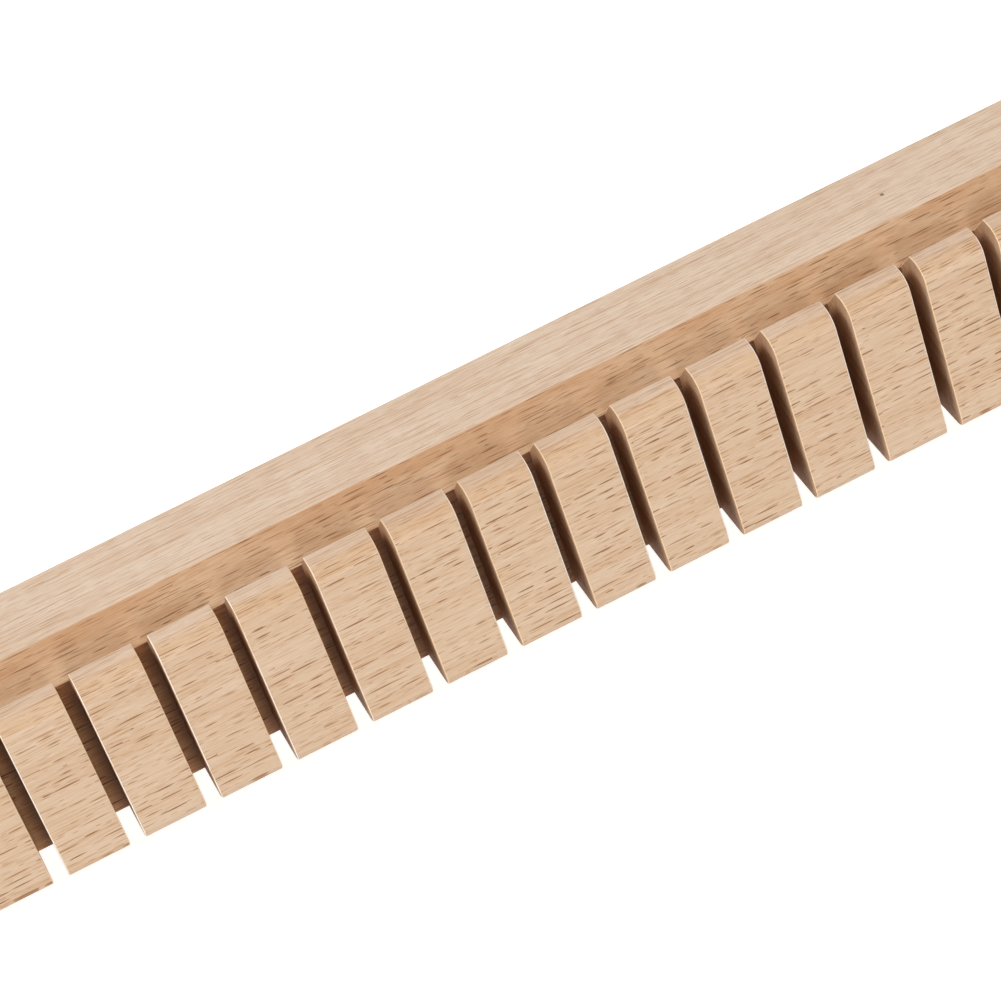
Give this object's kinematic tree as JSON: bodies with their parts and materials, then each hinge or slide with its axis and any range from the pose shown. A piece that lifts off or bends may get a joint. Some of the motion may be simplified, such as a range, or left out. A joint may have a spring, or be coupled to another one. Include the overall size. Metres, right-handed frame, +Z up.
{
  "type": "tapestry loom",
  "caption": "Flat beech frame loom with a fixed and a sliding toothed warp beam, a turning notched heddle bar and a fold-out stand.",
  "frame": {"origin": "on the table under the middle of the loom's box, with the loom lying flat on its rubber feet", "axes": "+X across the warp, +Y along the warp from the front beam to the back beam, +Z up from the table"},
  "size_m": [0.637, 0.7, 0.0745],
  "materials": {
    "beech": "unvarnished planed and sanded beech",
    "zinc_steel": "bright zinc-plated steel",
    "black_rubber": "matt black rubber"
  },
  "bodies": {
    "frame": {"left_rail": "beech", "right_rail": "beech", "front_stretcher": "beech", "rear_stretcher": "beech", "stretcher_bolts": "zinc_steel", "barrel_nuts": "zinc_steel", "front_beam": "beech", "front_beam_bolts": "zinc_steel", "front_beam_washers": "zinc_steel", "left_heddle_post": "beech", "right_heddle_post": "beech", "heddle_post_screws": "zinc_steel", "stand_pivot_bolts": "zinc_steel", "stand_washers": "zinc_steel", "rubber_feet": "black_rubber", "foot_screws": "zinc_steel"},
    "back_beam": {"back_beam": "beech", "back_beam_bolts": "zinc_steel", "back_beam_washers": "zinc_steel"},
    "heddle": {"heddle_bar": "beech", "left_heddle_knob": "beech", "right_heddle_knob": "beech", "heddle_knob_screws": "zinc_steel"},
    "stand": {"left_stand_leg": "beech", "right_stand_leg": "beech", "stand_cross_bar": "beech"},
    "front_left_nut": {"front_left_wing_nut": "zinc_steel"},
    "front_right_nut": {"front_right_wing_nut": "zinc_steel"},
    "back_left_nut": {"back_left_wing_nut": "zinc_steel"},
    "back_right_nut": {"back_right_wing_nut": "zinc_steel"},
    "left_stand_nut": {"left_stand_wing_nut": "zinc_steel"},
    "right_stand_nut": {"right_stand_wing_nut": "zinc_steel"}
  },
  "joints": [
    {"name": "back_beam_slide", "type": "slide", "parent": "frame", "child": "back_beam", "axis": [0, 1, 0], "range_m": [-0.14, 0.02]},
    {"name": "heddle_turn", "type": "hinge", "parent": "frame", "child": "heddle", "pos_m": [0, 0.06, 0.0522], "axis": [1, 0, 0], "continuous": true},
    {"name": "stand_fold", "type": "hinge", "parent": "frame", "child": "stand", "pos_m": [0, 0.11, 0.021], "axis": [1, 0, 0], "range_deg": [0, 170]},
    {"name": "front_left_nut_turn", "type": "hinge", "parent": "frame", "child": "front_left_nut", "pos_m": [-0.279, -0.33265, 0.0634], "axis": [0, 0, 1], "continuous": true},
    {"name": "front_right_nut_turn", "type": "hinge", "parent": "frame", "child": "front_right_nut", "pos_m": [0.279, -0.33265, 0.0634], "axis": [0, 0, 1], "continuous": true},
    {"name": "back_left_nut_turn", "type": "hinge", "parent": "back_beam", "child": "back_left_nut", "pos_m": [-0.279, 0.285, 0.0634], "axis": [0, 0, 1], "continuous": true},
    {"name": "back_right_nut_turn", "type": "hinge", "parent": "back_beam", "child": "back_right_nut", "pos_m": [0.279, 0.285, 0.0634], "axis": [0, 0, 1], "continuous": true},
    {"name": "left_stand_nut_turn", "type": "hinge", "parent": "frame", "child": "left_stand_nut", "pos_m": [-0.23, 0.11, 0.021], "axis": [1, 0, 0], "continuous": true},
    {"name": "right_stand_nut_turn", "type": "hinge", "parent": "frame", "child": "right_stand_nut", "pos_m": [0.23, 0.11, 0.021], "axis": [1, 0, 0], "continuous": true}
  ]
}
